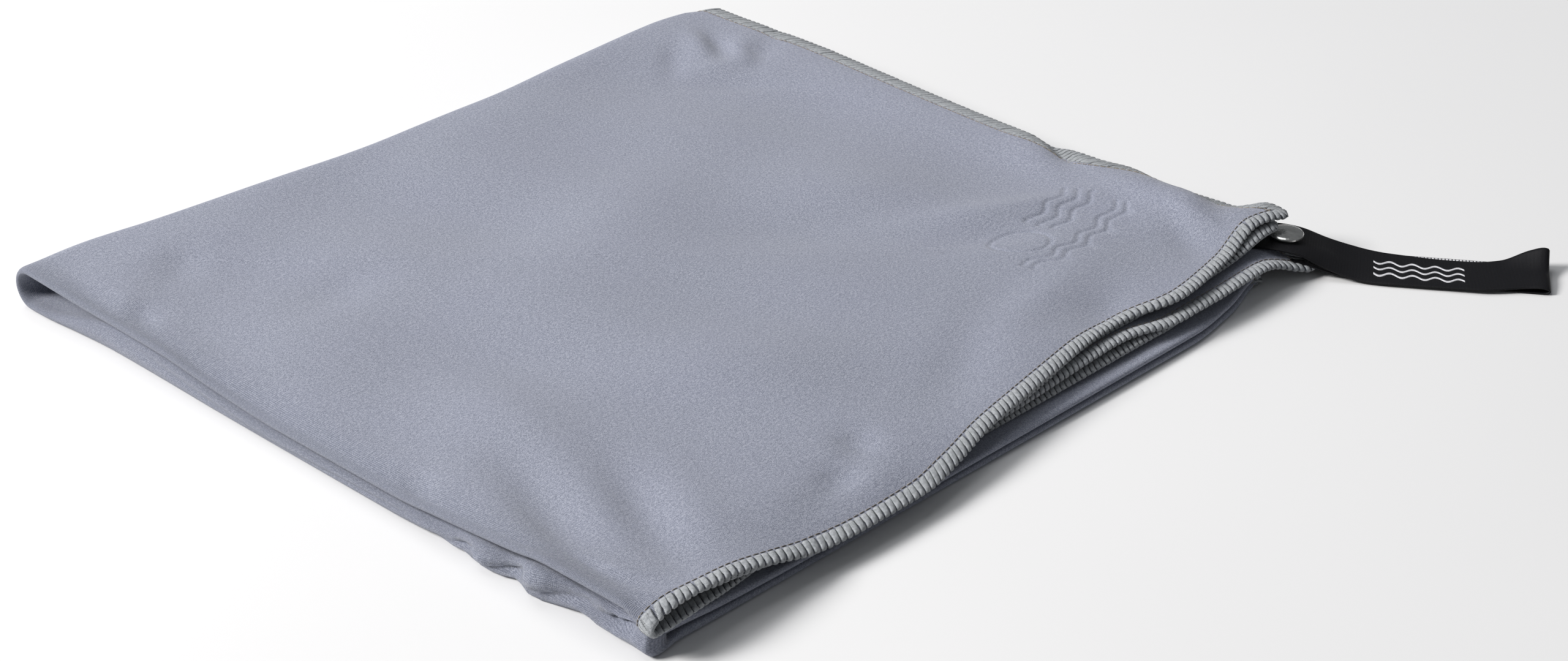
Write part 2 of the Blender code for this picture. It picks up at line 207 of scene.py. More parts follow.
SIDE_AXIS_LOWER = curve(
    (-145, -147.0), (-115, -146.0), (-101, -149.8), (-92, -146.6), (-78, -149.2), (-66, -146.4),
    (-40, -147.6), (40, -147.6), (100, -147.2), (145, -148.6))
LAST_AXIS = curve(
    (-150, 142.0), (-128, 142.6), (-98, 140.0), (-50, 137.6), (0, 134.8), (40, 134.8), (85, 137.6),
    (130, 138.4), (145, 137.0), (158, 131.0))

# Share of the height between layers 4 and 1 at which layers 3 and 2 lie along the front edge
THIRD_SHARE = curve(
    (-150, 0.30), (-60, 0.30), (0, 0.40), (20, 0.54), (60, 0.64), (76, 0.50), (90, 0.30), (104, 0.40),
    (128, 0.46), (150, 0.30))
SECOND_SHARE = curve(
    (-150, 0.68), (-130, 0.76), (-95, 0.72), (-60, 0.60), (0, 0.64), (30, 0.74), (62, 0.80), (150, 0.86))

# Dents and swells of the top layer, as bump() takes them; their heights are times TOP_RELIEF
TOP_RELIEF = 1.55
TOP_SPOTS = (
    (-40, -122, 7, 4, 50, -1.6),
    (-57, -130, 7, 3.5, 30, -1.3),
    (-67, -134, 14, 3, 15, -0.7),
    (-50, -139, 10, 4, 10, 0.5),
    (-131, -86, 36, 7, 67, -1.3),
    (-118, -94, 32, 6, 67, 0.7),
    (-112, -107, 28, 6, 63, -1.1),
    (-98, -112, 26, 6, 60, 0.5),
    (-143, -120, 11, 2.2, 88, -1.1),
    (-140, -133, 7, 2.2, -55, -0.9),
    (-146, -48, 7, 4, 60, -0.8),
    (-142, 91, 8, 4, 60, -1.0),
    (-139, 102, 7, 4, 60, 0.5),
    (-112, 112, 12, 5, 45, -0.8),
    (-86, 62, 16, 9, 10, -0.8),
    (-100, -30, 30, 14, 80, 0.9),
    (20, 40, 70, 22, 15, 1.0),
    (60, -20, 60, 18, -30, -1.0),
    (-40, -60, 60, 20, -35, 1.0),
    (136, 111, 14, 4.5, 59, -1.1),
    (129, 114, 10, 4, 55, 0.8),
    (143, 94, 12, 3.6, 27, -1.1),
    (139, 103, 9, 3.5, 40, 0.9),
    (114, 113, 12, 3.5, 40, -0.8),
    (128, 96, 12, 4, -20, 0.9),
    (118, 84, 18, 5, -45, -0.7),
    (151, -43, 13, 2.4, 70, -1.5),
    (146, -34, 12, 5, 70, 0.7),
    (108, -54, 34, 7, -30, 1.3),
    (90, -64, 22, 8, -30, -1.0),
    (148, -80, 24, 7, 82, 1.3),
    (152, -110, 11, 3, 55, -1.5),
    (144, -103, 10, 4, 55, 0.8),
    (132, -112, 14, 5, 50, -0.7),
    (70, -104, 26, 8, 10, 1.0),
    (74, -124, 16, 6, 20, -0.8),
    (20, -112, 30, 9, 30, -0.9),
)
# Creases pressed into the lower group's side, by place along it and CREASE_STEP times the depth
LOWER_SIDE_CREASES = (
    (-134, 3.4, 8, 2.2, 12, 5.5),
    (-88, 6.6, 12, 1.3, 20, 2.2),
    (-112, 5.6, 13, 1.3, 20, 2.3),
    (-127, 7.2, 8, 1.0, 20, 1.2),
    (-70, 6.0, 14, 1.2, 12, 0.9),
    (-20, 5.5, 40, 1.4, 3, 0.6),
    (60, 5.0, 40, 1.4, -3, 0.7),
)
# Swells and dents of layer 5 beside the side fold
LOWER_SIDE_SPOTS = (
    (-147, -101, 9, 5, 70, 1.2),
    (-147, -78, 8, 5, 70, 1.0),
    (-147, -90, 5, 5, 70, -1.0),
    (-147, -118, 6, 5, 60, -1.2),
    (-149, -133, 7, 3, 70, -3.2),
)
ROLL_DEPTH, ROLL_REACH = 2.9 * MM, 6 * MM  # the top layer rounds down over the side fold
RELIEF, RELIEF_LENGTHS = 0.6 * MM, (0.05, 0.16)
LAYER_GAP, GROUP_GAP, GAP_SOFTNESS = 0.75 * MM, 2.1 * MM, 0.6 * MM  # one layer, three layers
# The top layer's right edge curls down just behind the front right corner, and its tip drops
CURL_DEPTH, CURL_X = 5.5 * MM, (152 * MM, 162 * MM)
CURL_BACK, CURL_FRONT = (-66 * MM, -84 * MM), (-124 * MM, -108 * MM)
TIP_DROP, TIP_DIAGONAL = 2.0 * MM, (282 * MM, 304 * MM)
# Layer 3 droops onto the ribbon at the same corner
DROOP, DROOP_X, DROOP_Y, DROOP_DEPTH = 5.2 * MM, (136 * MM, 160 * MM), (-122 * MM, -147 * MM), 1.5
INNER_SHARES = (1 / 3, 2 / 3)


def edge_blend(layer, x, y):
    """Height of one control surface: level inside, and following its curves towards the four edges."""
    base = BASE_HEIGHT[layer] * MM
    near_front = np.exp(-np.maximum(y - FRONT, -8 * MM) / FRONT_REACH)
    near_front = np.minimum(near_front, 1.6)
    near_left = np.exp(-(np.maximum(x - LEFT, 0) / LEFT_REACH) ** 1.5)
    near_right = np.exp(-(np.maximum(RIGHT - x, 0) / RIGHT_REACH) ** 1.5)
    near_back = np.exp(-(np.maximum(LAST_AXIS(x) - y, 0) / BACK_REACH) ** 2)
    tables = (FRONT_HEIGHT, LEFT_HEIGHT, RIGHT_HEIGHT, BACK_HEIGHT)
    front, left, right, back = (table[layer] for table in tables)
    height = base + (front(x) - base) * near_front + (left(y) - base) * near_left
    height += (right(y) - base) * near_right + (back(x) - base) * near_back
    height -= (left(FRONT) - base) * near_front * near_left
    height -= (right(FRONT) - base) * near_front * near_right
    height -= (left(BACK) - base) * near_back * near_left
    height -= (right(BACK) - base) * near_back * near_right
    return height


def control_heights(x, y):
    """Heights of layers 8, 5, 4 and 1 at one place, each kept clear of the one below."""
    low = edge_blend(8, x, y)
    inside = smooth_step(0, 25 * MM, np.minimum(y - FRONT, BACK - y))
    inside = inside * smooth_step(0, 20 * MM, np.minimum(x - LEFT, RIGHT - x))
    relief = RELIEF * waves(x, y, 11, *RELIEF_LENGTHS) * inside
    fifth = edge_blend(5, x, y) + relief * 0.6
    for spot in LOWER_SIDE_SPOTS:
        fifth = fifth + bump(x, y, spot)
    fifth = soft_max(fifth, low + GROUP_GAP, GAP_SOFTNESS)
    fourth = edge_blend(4, x, y) + relief * 0.8
    fourth = soft_max(fourth, fifth + LAYER_GAP, 0.5 * MM)
    top = edge_blend(1, x, y) + relief
    for spot in TOP_SPOTS:
        top = top + TOP_RELIEF * bump(x, y, spot)
    top = top - ROLL_DEPTH * np.exp(-(np.maximum(x - LEFT, 0) / ROLL_REACH) ** 1.5)
    curl = smooth_step(*CURL_X, x) * smooth_step(*CURL_BACK, y) * smooth_step(*CURL_FRONT, y)
    top = top - CURL_DEPTH * curl - TIP_DROP * smooth_step(*TIP_DIAGONAL, x - y)
    top = soft_max(top, fourth + GROUP_GAP, GAP_SOFTNESS)
    return low, fifth, fourth, top


def upper_height(x, y, depth):
    """Height inside the upper half. Depth runs from 0.5 at layer 4 to 3.5 at layer 1."""
    _, _, fourth, top = control_heights(x, y)
    near_front = np.exp(-np.maximum(y - FRONT, 0) / (30 * MM))
    third = 1 / 3 + (THIRD_SHARE(x) / MM - 1 / 3) * near_front
    second = 2 / 3 + (SECOND_SHARE(x) / MM - 2 / 3) * near_front
    share = spread(depth, third, second)
    droop = DROOP * smooth_step(*DROOP_X, x) * smooth_step(*DROOP_Y, y)
    return fourth + (top - fourth) * share - droop * np.clip(1 - np.abs(depth - DROOP_DEPTH), 0, 1)


def lower_height(x, y, depth):
    """Height inside the lower half. Depth runs from 0.5 at layer 5 to 3.5 at layer 8."""
    low, fifth, _, _ = control_heights(x, y)
    return fifth + (low - fifth) * spread(depth, *INNER_SHARES)


def spread(depth, at_second, at_third):
    """Share of a group's height at a depth, smooth through its four layers."""
    t = np.clip((depth - 0.5) / 3, 0, 1)
    second_off, third_off = at_second - INNER_SHARES[0], at_third - INNER_SHARES[1]
    first_bend = second_off * 3 - third_off * 1.5
    last_bend = third_off * 3 - second_off * 1.5
    return t + 2.25 * t * (1 - t) * (first_bend * (1 - t) + last_bend * t)


# ---------------------------------------------------------------- from the flat sheet to the packet
def fold_slots(u, v):
    """Where a point of the flat sheet lies in the folded stack.

    Returns its place across the packet (0 at the right edges, 1 at the side fold), how far round the
    side fold it is, the distance from its serged end, how far round the end fold, its depth, and 0.5 on
    the outer layers of its half or -0.5 on the inner ones."""
    from_end = np.minimum(v, LENGTH - v)
    from_side = np.minimum(u, WIDTH - u)
    end_angle = np.clip((from_end - (LENGTH / 2 - END_TURN)) / END_TURN, 0, 1) * (math.pi / 2)
    side_angle = np.clip((from_side - (WIDTH / 2 - SIDE_TURN)) / SIDE_TURN, 0, 1) * (math.pi / 2)
    outer = np.where(v < LENGTH / 2, 0.5, -0.5) * np.cos(end_angle)
    first = np.where(u < WIDTH / 2, 1.0, -1.0)
    depth = 2 + first * (1 + outer) * np.cos(side_angle)
    across = from_side / (WIDTH / 2 - SIDE_TURN)
    return across, side_angle, from_end, end_angle, depth, outer


def layer_edge(table, layers, side_share, outer_share, position):
    """Edge position among one group's four layers: outer far, inner far, inner near, outer near."""
    outer_far, inner_far, inner_near, outer_near = (table[layer](position) for layer in layers)
    outer_edge = outer_far + (outer_near - outer_far) * side_share
    inner_edge = inner_far + (inner_near - inner_far) * side_share
    return inner_edge + (outer_edge - inner_edge) * outer_share


INNER_SET_BACK = 6 * MM  # the inner layers' side fold lies this far inside the outer layers'
SIDE_REACH_UPPER, SIDE_REACH_LOWER = 1.9 * MM, 2.4 * MM
CRUMPLE_DEPTH, CRUMPLE_START, CRUMPLE_LENGTHS = 0.7 * MM, (-40 * MM, -70 * MM), (0.007, 0.024)
CREASE_STEP = 3 * MM  # what one step of depth counts for in LOWER_SIDE_CREASES
END_REACH = 1.3 * MM


def place(u, v):
    """Middle of the cloth, in the packet, for points of the flat sheet. Also the share that opens."""
    across, side_angle, from_end, end_angle, depth, outer = fold_slots(u, v)
    lower_run = LENGTH / 2 - END_TURN - STRAIGHT_RUN - LAST_TURN
    turn = np.clip((from_end - STRAIGHT_RUN) / LAST_TURN, 0, 1)
    opens = 1 - turn
    angle = math.pi / 2 - math.pi * turn

    ideal_x = RIGHT - np.clip(across, 0, 1) * PACKET_X
    up_run = np.clip(from_end / STRAIGHT_RUN, -0.01, 1)
    down_run = np.clip((from_end - STRAIGHT_RUN - LAST_TURN) / lower_run, 0, 1)
    upper = turn <= 0
    ideal_y = np.where(turn < 1, FRONT + np.clip(up_run, 0, 1) * PACKET_Y, BACK - down_run * PACKET_Y)

    mix = smooth_step(0, 1, opens)
    side_share = (1 + np.where(u < WIDTH / 2, 1.0, -1.0) * np.cos(side_angle)) / 2
    outer_share = outer + 0.5
    right_up = layer_edge(RIGHT_EDGE, (4, 3, 2, 1), side_share, outer_share, ideal_y)
    right_low = layer_edge(RIGHT_EDGE, (5, 6, 7, 8), side_share, outer_share, ideal_y)
    right = right_low + (right_up - right_low) * mix
    axis_x = SIDE_AXIS_LOWER(ideal_y) + (SIDE_AXIS_UPPER(ideal_y) - SIDE_AXIS_LOWER(ideal_y)) * mix
    axis_x = axis_x + INNER_SET_BACK * (1 - outer_share)
    radius = (1 + outer) / 1.5
    side_reach = (SIDE_REACH_LOWER + (SIDE_REACH_UPPER - SIDE_REACH_LOWER) * mix) * radius
    x = axis_x + (right - axis_x) * (1 - np.minimum(across, 1)) - side_reach * np.sin(side_angle)
    on_lower_side = (1 - mix) * np.sin(side_angle)
    crumple = smooth_step(*CRUMPLE_START, ideal_y) * on_lower_side
    wrinkles = waves(ideal_y + 3 * MM * np.cos(side_angle), 8 * MM * depth / 3, 5, *CRUMPLE_LENGTHS)
    x = x + CRUMPLE_DEPTH * crumple * wrinkles
    for spot in LOWER_SIDE_CREASES:
        x = x + on_lower_side * bump(ideal_y, CREASE_STEP * depth, spot)

    axis_y = LAST_AXIS(x)
    front_up = layer_edge(FRONT_EDGE, (4, 3, 2, 1), side_share, outer_share, ideal_x)
    front_low = layer_edge(FRONT_EDGE, (5, 5, 8, 8), side_share, outer_share, ideal_x)
    y_up = front_up + (axis_y - front_up) * up_run
    y_low = axis_y + (front_low + END_REACH - axis_y) * down_run - END_REACH * np.sin(end_angle)
    y_straight = np.where(upper, y_up, y_low)

    at_axis_up = upper_height(x, axis_y, depth)
    at_axis_low = lower_height(x, axis_y, depth)
    middle = (upper_height(x, axis_y, 0.5) + lower_height(x, axis_y, 0.5)) / 2
    reach = (at_axis_up - at_axis_low) / 2
    y_turn = axis_y + reach * np.cos(angle)
    rise = np.where(angle > 0, at_axis_up - middle, middle - at_axis_low)
    z_turn = middle + rise * np.sin(angle)

    turning = (turn > 0) & (turn < 1)
    y = np.where(turning, y_turn, y_straight)
    z = np.where(upper, upper_height(x, y_straight, depth), lower_height(x, y_straight, depth))
    z = np.where(turning, z_turn, z)
    return np.stack([x, y, z], axis=-1), opens


def place_with_normal(u, v):
    """Points on the sheet with the direction of its outer face, and along u and v."""
    step = 0.25 * MM
    u0, u1 = np.clip(u - step, 0, WIDTH), np.clip(u + step, 0, WIDTH)
    v0, v1 = np.clip(v - step, 0, LENGTH), np.clip(v + step, 0, LENGTH)
    along_u = unit(place(u1, v)[0] - place(u0, v)[0])
    along_v = unit(place(u, v1)[0] - place(u, v0)[0])
    normal = unit(np.cross(along_v, along_u))
    points, opens = place(u, v)
    return points, normal, along_u, along_v, opens


def opening_weight(points, opens):
    """Share of the unfold angle that a point takes. High spots take less, so they land on the floor."""
    distance = np.abs(points[:, 1] - UNFOLD_Y)
    above = np.maximum(points[:, 2] - UNFOLD_Z, 0)
    floor_gap = 0.6 * MM
    sunk = np.maximum(above - (UNFOLD_Z - floor_gap), 0)
    ease = smooth_step(15 * MM, 60 * MM, distance)
    return opens - opens * ease * sunk / (math.pi * np.maximum(distance, 10 * MM))


# ---------------------------------------------------------------- meshes
def make_mesh(name, points, faces, material):
    """A mesh object from arrays. Faces may mix sizes."""
    mesh = bpy.data.meshes.new(name)
    mesh.from_pydata(np.asarray(points).tolist(), [], faces)
    mesh.materials.append(material)
    mesh.shade_smooth()
    obj = bpy.data.objects.new(name, mesh)
    bpy.context.scene.collection.objects.link(obj)
    return obj


def set_sheet(obj, places):
    """Stores each vertex's place on the flat cloth, which the materials read."""
    attribute = obj.data.attributes.new("sheet", "FLOAT_VECTOR", "POINT")
    attribute.data.foreach_set("vector", np.asarray(places, np.float32).ravel())


def set_blend(obj, bodies, start, end, weights):
    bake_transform(obj)


def blend_unfold(obj, weights):
    set_blend(obj, ("lower_half", "upper_half"), (0, UNFOLD_Y, 0), (0, UNFOLD_Y, 2 * UNFOLD_Z), weights)


def blend_strap(obj, weights):
    reach = (0, 0, 10 * MM)
    ends = tuple(STRAP_END - reach), tuple(STRAP_END + reach)
    set_blend(obj, ("upper_half", "strap_flap"), *ends, weights)


def nodes_of_slot(slot):
    return [part["node"] for part in RECORD["subparts"] if part["material_slot"] == slot]


def shell_faces(wide, deep, flipped=False):
    """Faces of a closed shell over two grids of points: one side, the other side, and their rim."""
    count = wide * deep
    index = np.arange(count).reshape(deep, wide)
    a, b, c, d = index[:-1, :-1], index[:-1, 1:], index[1:, 1:], index[1:, :-1]
    first = np.stack([a, d, c, b], -1).reshape(-1, 4)
    second = np.stack([a, b, c, d], -1).reshape(-1, 4)
    ring = np.concatenate([index[0, :-1], index[:-1, -1], index[-1, :0:-1], index[:0:-1, 0]])
    after = np.roll(ring, -1)
    if flipped:
        first, second, ring, after = second, first, after, ring
    rim = np.stack([ring, after, after + count, ring + count], -1)
    return np.concatenate([first, second + count, rim]).tolist()


def tube_faces(count, rings, sides):
    """Quads round each of many closed-ended tubes, with a cap at both ends."""
    faces = []
    for tube in range(count):
        base = tube * rings * sides
        for k in range(rings - 1):
            for s in range(sides):
                n = (s + 1) % sides
                low, high = base + k * sides, base + (k + 1) * sides
                faces.append((low + s, high + s, high + n, low + n))
        faces.append(tuple(base + s for s in range(sides)))
        last = base + (rings - 1) * sides
        faces.append(tuple(last + s for s in reversed(range(sides))))
    return faces


# ---------------------------------------------------------------- towel
def spaced(*spans):
    """Grid lines along one side of the sheet, from each span's end and spacing."""
    marks, start = [0.0], 0.0
    for end, spacing in spans:
        count = max(1, round((end - start) / spacing))
        marks += [start + (end - start) * (i + 1) / count for i in range(count)]
        start = end
    return np.array(marks)


RIM_BAND, RIM_STEP = 6 * MM, 1.2 * MM
COARSE = 4 * MM
EMBLEM_CENTRE = (0.100, -0.084)
EMBLEM_U = RIGHT - EMBLEM_CENTRE[0]
EMBLEM_V = EMBLEM_CENTRE[1] - FRONT
EMBLEM_HALF = (32 * MM, 17 * MM)
EMBLEM_STEP = 0.65 * MM
EMBLEM_DEPTH, EMBLEM_SCALE = 0.42 * MM, 0.9 * MM
# Each wave's place across the mark, its start and its end, in EMBLEM_SCALE
EMBLEM_WAVES = ((10.0, 2, 32), (4.5, 2, 32), (-1.0, 2, 32), (-12.0, -30, 30), (-16.5, -30, 30))


def sheet_columns():
    side = WIDTH / 2
    near, far, step = 8 * MM, 18 * MM, 1.6 * MM
    return spaced(
        (RIM_BAND, RIM_STEP),
        (EMBLEM_U - EMBLEM_HALF[0], COARSE),
        (EMBLEM_U + EMBLEM_HALF[0], EMBLEM_STEP),
        (side - far, COARSE),
        (side - near, step),
        (side + near, 0.57 * MM),
        (side + far, step),
        (WIDTH - RIM_BAND, COARSE),
        (WIDTH, RIM_STEP),
    )


def sheet_rows():
    turn_start, turn_end = STRAIGHT_RUN - 8 * MM, STRAIGHT_RUN + LAST_TURN + 8 * MM
    middle, end_band, turn_step = LENGTH / 2, 6 * MM, 1.3 * MM
    return spaced(
        (RIM_BAND, RIM_STEP),
        (EMBLEM_V - EMBLEM_HALF[1], COARSE),
        (EMBLEM_V + EMBLEM_HALF[1], EMBLEM_STEP),
        (turn_start, COARSE),
        (turn_end, turn_step),
        (middle - end_band, COARSE),
        (middle + end_band, 0.5 * MM),
        (LENGTH - turn_end, COARSE),
        (LENGTH - turn_start, turn_step),
        (LENGTH - RIM_BAND, COARSE),
        (LENGTH, RIM_STEP),
    )


def round_corners(u, v):
    """Bends the grid at the sheet's four corners onto their round cut."""
    near_u, near_v = np.minimum(u, WIDTH - u), np.minimum(v, LENGTH - v)
    a = np.clip(1 - near_u / CORNER_RADIUS, 0, 1)
    b = np.clip(1 - near_v / CORNER_RADIUS, 0, 1)
    length = np.hypot(a, b)
    scale = np.where(length > 0, np.maximum(a, b) / np.maximum(length, 1e-9), 1.0)
    both = (a > 0) & (b > 0)
    new_u = np.where(both, CORNER_RADIUS * (1 - a * scale), near_u)
    new_v = np.where(both, CORNER_RADIUS * (1 - b * scale), near_v)
    new_u = np.where(u < WIDTH / 2, new_u, WIDTH - new_u)
    return new_u, np.where(v < LENGTH / 2, new_v, LENGTH - new_v)


def emblem_relief(u, v):
    """Pressed-in mark near the top layer's front right corner: a plain ring and five waves."""
    x = (EMBLEM_U - u) / EMBLEM_SCALE
    y = (v - EMBLEM_V) / EMBLEM_SCALE
    nearest = np.abs(np.hypot(x + 13, y - 3) - 10)
    swing, steepness = 1.4 * np.sin(x * 2 * math.pi / 14), 0.85
    for shift, start, end in EMBLEM_WAVES:
        wave = np.abs(y - shift - swing) * steepness
        nearest = np.minimum(nearest, np.where((x > start) & (x < end), wave, np.inf))
    top_layer = (v < LENGTH / 2) & (u < WIDTH / 2)
    return -EMBLEM_DEPTH * smooth_step(1.2, 0.3, nearest) * top_layer


def make_towel(material):
    """The whole cloth as one closed mesh: two faces a cloth's thickness apart, and a rim."""
    columns, rows = sheet_columns(), sheet_rows()
    grid_u, grid_v = np.meshgrid(columns, rows)
    u, v = round_corners(grid_u.ravel(), grid_v.ravel())
    points, normal, _, _, opens = place_with_normal(u, v)
    middle = points + emblem_relief(u, v)[:, None] * normal
    half = normal * CLOTH_THICK / 2
    faces = shell_faces(len(columns), len(rows))
    towel = make_mesh("towel_cloth", np.concatenate([middle + half, middle - half]), faces, material)
    edge = np.minimum(np.minimum(u, WIDTH - u), np.minimum(v, LENGTH - v))
    set_sheet(towel, np.tile(np.stack([u, v, edge], -1), (2, 1)))
    blend_unfold(towel, np.tile(opening_weight(points, opens), 2))
    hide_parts(*nodes_of_slot("towel_cloth"))
    return towel


# ---------------------------------------------------------------- overlock
def border_path(spacing, inset):
    """Evenly spaced places round the sheet's rim: (u, v), the way inwards, and the distance run."""
    run_u, run_v = WIDTH - 2 * CORNER_RADIUS, LENGTH - 2 * CORNER_RADIUS
    arc = CORNER_RADIUS * math.pi / 2
    total = 2 * (run_u + run_v) + 4 * arc
    count = round(total / spacing)
    distance = (np.arange(count) + 0.5) * total / count
    sides = ((CORNER_RADIUS, 0, 0, run_u), (WIDTH, CORNER_RADIUS, 90, run_v),
             (WIDTH - CORNER_RADIUS, LENGTH, 180, run_u), (0, LENGTH - CORNER_RADIUS, 270, run_v))
    centres = ((WIDTH - CORNER_RADIUS, CORNER_RADIUS), (WIDTH - CORNER_RADIUS, LENGTH - CORNER_RADIUS),
               (CORNER_RADIUS, LENGTH - CORNER_RADIUS), (CORNER_RADIUS, CORNER_RADIUS))
    place_uv = np.zeros((count, 2))
    inward = np.zeros((count, 2))
    begin = 0.0
    for (start_u, start_v, heading, run), centre in zip(sides, centres):
        c, s = math.cos(math.radians(heading)), math.sin(math.radians(heading))
        on_run = (distance >= begin) & (distance < begin + run)
        along = (distance[on_run] - begin)[:, None]
        place_uv[on_run] = (start_u, start_v) + along * (c, s)
        inward[on_run] = (-s, c)
        begin += run
        on_arc = (distance >= begin) & (distance < begin + arc)
        angle = (distance[on_arc] - begin) / CORNER_RADIUS + math.radians(heading - 90)
        outwards = np.stack([np.cos(angle), np.sin(angle)], -1)
        place_uv[on_arc] = centre + CORNER_RADIUS * outwards
        inward[on_arc] = -outwards
        begin += arc
    return place_uv + inward * inset, inward, distance


def border_place(at, inward, along_uv):
    """Points near the rim with the face's normal, the ways inwards and along, and the opening share."""
    points, normal, along_u, along_v, opens = place_with_normal(at[:, 0], at[:, 1])
    inwards = unit(along_u * inward[:, :1] + along_v * inward[:, 1:])
    along = unit(along_u * along_uv[:, :1] + along_v * along_uv[:, 1:])
    return points, normal, inwards, along, opening_weight(points, opens)


# One stitch from the needle line over the rim and back: its place inwards, out of the cloth's middle,
# and half its width and thickness, in millimetres
STITCH_RINGS = np.array([
    (4.3, 0.20, 1.0, 0.24), (4.0, 0.40, 1.3, 0.28), (3.1, 0.58, 1.36, 0.30), (2.0, 0.66, 1.28, 0.30),
    (0.8, 0.66, 1.06, 0.30), (-0.15, 0.48, 1.02, 0.38), (-0.5, 0.0, 1.0, 0.44)])
STITCH_BACK = STITCH_RINGS[-2::-1] * (1, -1, 1, 1)
STITCH_ACROSS, STITCH_OUT, STITCH_HALF_WIDTH, STITCH_HALF_THICK = (
    np.concatenate([STITCH_RINGS, STITCH_BACK]).T * MM)
STITCH_SIDES = 6
STITCH_SLANT = -0.5
STITCH_LENGTH = 12 * MM
RIM_INSET = 0.15 * MM
NEEDLE_INSET = 4.9 * MM
NEEDLE_SIDES = 4
NEEDLE_RADIUS = 0.17 * MM


def make_overlock(material):
    """Every stitch as a flattened loop of thread from the needle line, over the edge and back below."""
    random = np.random.default_rng(RANDOM_SEED)
    uv, inward, distance = border_path(STITCH_PITCH, 0)
    along_uv = np.stack([inward[:, 1], -inward[:, 0]], -1)
    count, rings = len(uv), len(STITCH_ACROSS)
    slant = STITCH_SLANT * random.uniform(0.8, 1.2, count)
    puff = random.uniform(0.9, 1.12, count)[:, None]
    centres, sideways = np.zeros((2, count, rings, 3))
    weights = np.zeros((count, rings))
    for k, across in enumerate(STITCH_ACROSS):
        inside = max(across, RIM_INSET)
        shift = slant * across * (1 if k <= rings // 2 else -1)
        at = uv + inward * inside + along_uv * shift[:, None]
        points, normal, inwards, sideways[:, k], weights[:, k] = border_place(at, inward, along_uv)
        centres[:, k] = points + normal * STITCH_OUT[k] * puff + inwards * min(across - inside, 0)
    thick = unit(np.cross(unit(np.gradient(centres, axis=1)), sideways))[:, :, None]
    wide = random.uniform(0.94, 1.08, count)[:, None, None, None]
    angles = np.arange(STITCH_SIDES) * 2 * math.pi / STITCH_SIDES
    c, s = np.cos(angles)[:, None], np.sin(angles)[:, None]
    half = STITCH_HALF_WIDTH[:, None, None] * wide
    points = centres[:, :, None] + sideways[:, :, None] * half * c
    points = points + thick * STITCH_HALF_THICK[:, None, None] * s
    faces = tube_faces(count, rings, STITCH_SIDES)
    obj = make_mesh("overlock_stitches", points.reshape(-1, 3), faces, material)
    spot = np.zeros(points.shape)
    spot[..., 0] = distance[:, None, None] + (half * c)[..., 0]
    spot[..., 1] = np.linspace(0, STITCH_LENGTH, rings)[:, None]
    spot[..., 2] = random.uniform(0, 1, count)[:, None, None]
    set_sheet(obj, spot.reshape(-1, 3))
    blend_unfold(obj, np.repeat(weights.reshape(-1), STITCH_SIDES))
    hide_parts(*nodes_of_slot("overlock_thread"))
    return obj


def make_needle_line(material):
    """The straight stitches along the border's inner side, on both faces."""
    uv, inward, _ = border_path(STITCH_PITCH, NEEDLE_INSET)
    along_uv = np.stack([inward[:, 1], -inward[:, 0]], -1)
    offsets = np.array([-1.0, -0.7, 0.0, 0.7, 1.0]) * MM
    lifts = np.array([-0.10, 0.10, 0.15, 0.10, -0.10]) * MM + CLOTH_THICK / 2
    angles = np.arange(NEEDLE_SIDES) * 2 * math.pi / NEEDLE_SIDES
    points = np.zeros((2, len(uv), len(offsets), NEEDLE_SIDES, 3))
    weights = np.zeros(points.shape[:-1])
    for face, turned in enumerate((1, -1)):
        for k, (offset, lift) in enumerate(zip(offsets, lifts)):
            at = uv + along_uv * offset
            middle, normal, inwards, _, weight = border_place(at, inward, along_uv)
            normal = normal * turned
            weights[face, :, k] = weight[:, None]
            for side, angle in enumerate(angles):
                swing = inwards * math.cos(angle) + normal * math.sin(angle)
                points[face, :, k, side] = middle + normal * lift + NEEDLE_RADIUS * swing
    faces = tube_faces(2 * len(uv), len(offsets), NEEDLE_SIDES)
    obj = make_mesh("overlock_needle_line", points.reshape(-1, 3), faces, material)
    blend_unfold(obj, weights.reshape(-1))
    return obj


# ---------------------------------------------------------------- hanging loop
RIBBON_WIDTH = 20 * MM
RIBBON_THICK = 0.45 * MM
# Centre line from the root under layer 3, out to the far end and back to the free end, as (along, height)
RIBBON_LINE = (
    (-107, 7.3), (-101, 7.2), (-95, 6.2), (-88, 5.6), (-80, 4.2), (-72, 2.0), (-64, 0.9), (-48, 0.5),
    (-28, 0.5), (-10, 0.5), (-3, 0.6), (-0.6, 1.5), (-0.6, 2.6), (-3, 3.1), (-8, 2.4), (-16, 1.7),
    (-30, 1.5), (-45, 1.6), (-57, 2.1), (-66, 3.4), (-75, 6.2), (-82, 8.6), (-88, 9.55), (-94, 9.8),
    (-99, 9.6),
)
# How far the two long edges rise above the centre line, by the distance run along the line
FAR_EDGE_RISE = curve(
    (0, 0), (20, 0), (94, 0), (103, 3.0), (108, 4.6), (114, 3.6), (124, 0.6), (140, 0), (160, 0.6),
    (172, 0.8), (184, 0), (212, 0))
NEAR_EDGE_RISE = curve(
    (0, 0), (92, 0), (104, -0.4), (109, -0.9), (114, -0.5), (124, 0), (158, -0.6), (172, -1.6),
    (182, -1.6), (194, -0.4), (206, 0))
LEAN = -3.2 * MM  # the free leg lies this far off the fixed leg
FAR_TURN = 7 * MM  # ribbon that turns round the far end


